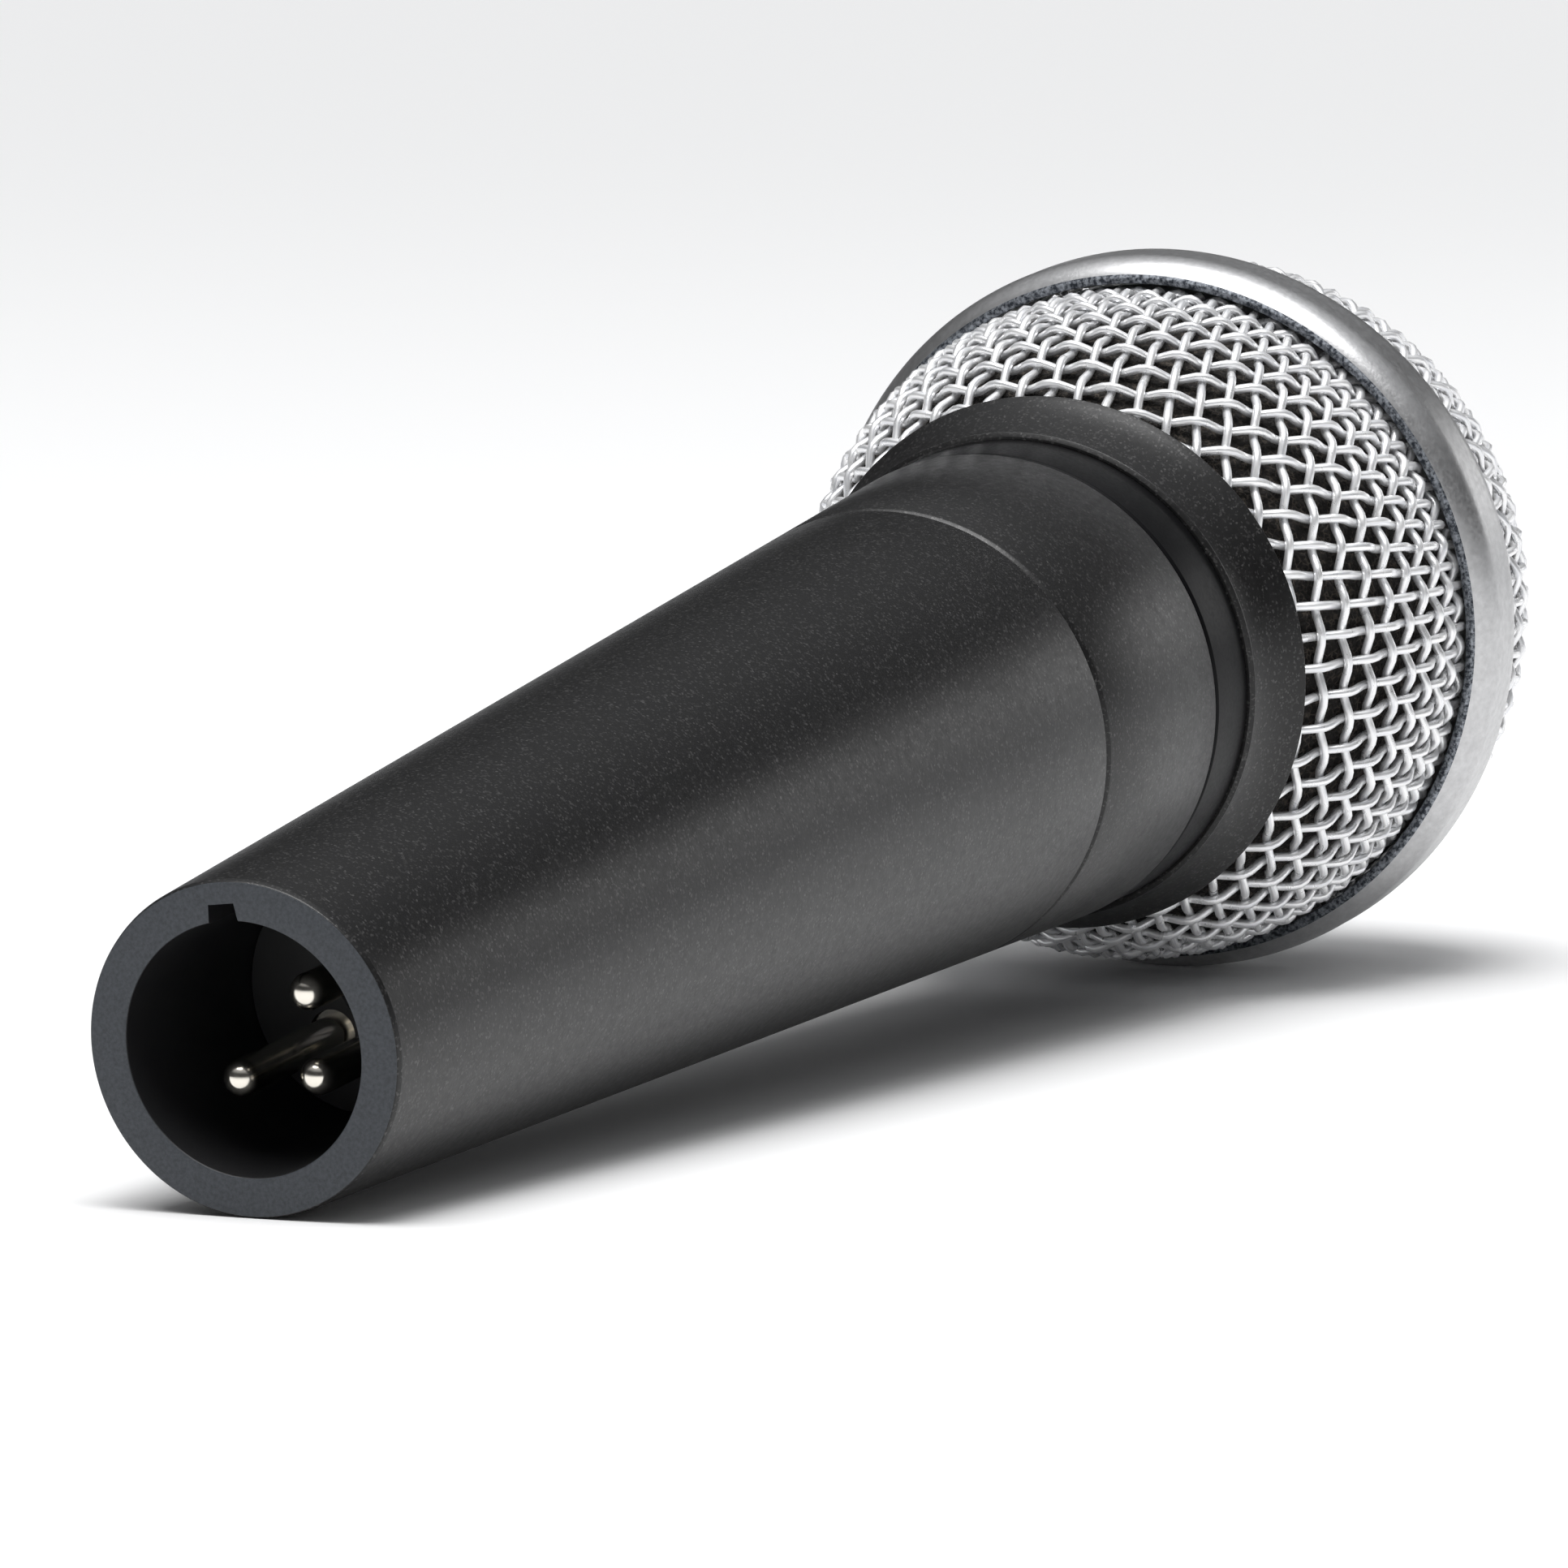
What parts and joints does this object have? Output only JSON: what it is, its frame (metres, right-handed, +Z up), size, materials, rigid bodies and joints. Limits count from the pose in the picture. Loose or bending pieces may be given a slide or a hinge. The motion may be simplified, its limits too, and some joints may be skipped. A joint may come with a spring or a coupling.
{
  "type": "dynamic microphone",
  "caption": "Handheld dynamic vocal microphone with a tapered charcoal body, a woven wire grille round a nickel waist band, and a recessed round plug socket.",
  "frame": {"origin": "centre of the microphone's bounding box, on the ground it lies on", "axes": "+X along the microphone, from the connector end towards the grille and rising 6.3 degrees; +Z up; +Y across"},
  "size_m": [0.1786, 0.055, 0.055],
  "materials": {
    "body_paint": "fine charcoal metallic, satin",
    "insert_plastic": "moulded, matt",
    "contact_plate": "bright nickel plate",
    "screw_steel": "plain steel",
    "spring_strip": "rolled strip",
    "lead_red": "insulated wire",
    "lead_blue": "insulated wire",
    "core_iron": "stacked laminations",
    "bobbin_plastic": "moulded",
    "winding_copper": "enamelled copper wire",
    "seal_rubber": "soft rubber",
    "label_finish": "smooth dark band with no lettering",
    "capsule_alloy": "turned",
    "board": "circuit board",
    "magnet_dark": "ground magnet",
    "pole_steel": "turned soft steel",
    "film": "thin polyester film",
    "cap_plastic": "moulded",
    "cloth": "fine black acoustic cloth",
    "washer_plastic": "slip washer",
    "wire_mesh": "crimped woven wire, satin plated",
    "band_plate": "satin nickel plate",
    "grille_foam": "open-cell foam"
  },
  "bodies": {
    "handle": {"handle_shell": "body_paint", "xlr_insert": "insert_plastic", "pin_1": "contact_plate", "pin_2": "contact_plate", "pin_3": "contact_plate", "insert_screw": "screw_steel", "ground_spring": "spring_strip", "connector_leads": "lead_red", "transformer_core": "core_iron", "transformer_bobbin": "bobbin_plastic", "transformer_winding": "winding_copper", "transformer_strap": "spring_strip"},
    "body_joint": {"body_seal": "seal_rubber"},
    "upper": {"upper_body": "body_paint", "label_ring": "label_finish", "shock_mount": "seal_rubber"},
    "capsule": {"capsule_shell": "capsule_alloy", "terminal_board": "board", "pole_cup": "pole_steel", "magnet": "magnet_dark", "pole_piece": "pole_steel", "resonator_cap": "cap_plastic", "cap_cloth": "cloth", "capsule_leads": "lead_blue"},
    "diaphragm": {"voice_coil": "winding_copper", "diaphragm": "film"},
    "grille_carrier": {"grille_gasket": "seal_rubber"},
    "grille_slip": {"grille_washer": "washer_plastic"},
    "grille": {"grille_collar": "body_paint", "rear_mesh": "wire_mesh", "rear_foam": "grille_foam", "waist_band": "band_plate", "band_clamp_ring": "band_plate", "front_mesh": "wire_mesh", "front_foam": "grille_foam"}
  },
  "joints": [
    {"name": "body_rise", "type": "slide", "parent": "handle", "child": "body_joint", "axis": [0.994, 0, 0.1094], "range_m": [0, 0.0065]},
    {"name": "body_turn", "type": "hinge", "parent": "body_joint", "child": "upper", "pos_m": [0.01246, 0, 0.02169], "axis": [0.994, 0, 0.1094], "range_deg": [0, 2340.05]},
    {"name": "grille_lift", "type": "slide", "parent": "upper", "child": "grille_carrier", "axis": [0.994, 0, 0.1094], "range_m": [0, 0.06]},
    {"name": "grille_rise", "type": "slide", "parent": "grille_carrier", "child": "grille_slip", "axis": [0.994, 0, 0.1094], "range_m": [0, 0.004]},
    {"name": "grille_turn", "type": "hinge", "parent": "grille_slip", "child": "grille", "pos_m": [0.03761, 0, 0.02446], "axis": [0.994, 0, 0.1094], "range_deg": [0, 1440.05]},
    {"name": "capsule_float", "type": "slide", "parent": "upper", "child": "capsule", "axis": [0.994, 0, 0.1094], "range_m": [-0.0008, 0.0008], "stiffness_N_per_m": 1500},
    {"name": "diaphragm_travel", "type": "slide", "parent": "capsule", "child": "diaphragm", "axis": [0.994, 0, 0.1094], "range_m": [-0.00025, 0.00025], "stiffness_N_per_m": 60}
  ],
  "couplings": [
    {"joint": "body_turn", "follows": "body_rise", "rad_per_m": 6283.2},
    {"joint": "grille_turn", "follows": "grille_rise", "rad_per_m": 6283.2}
  ]
}
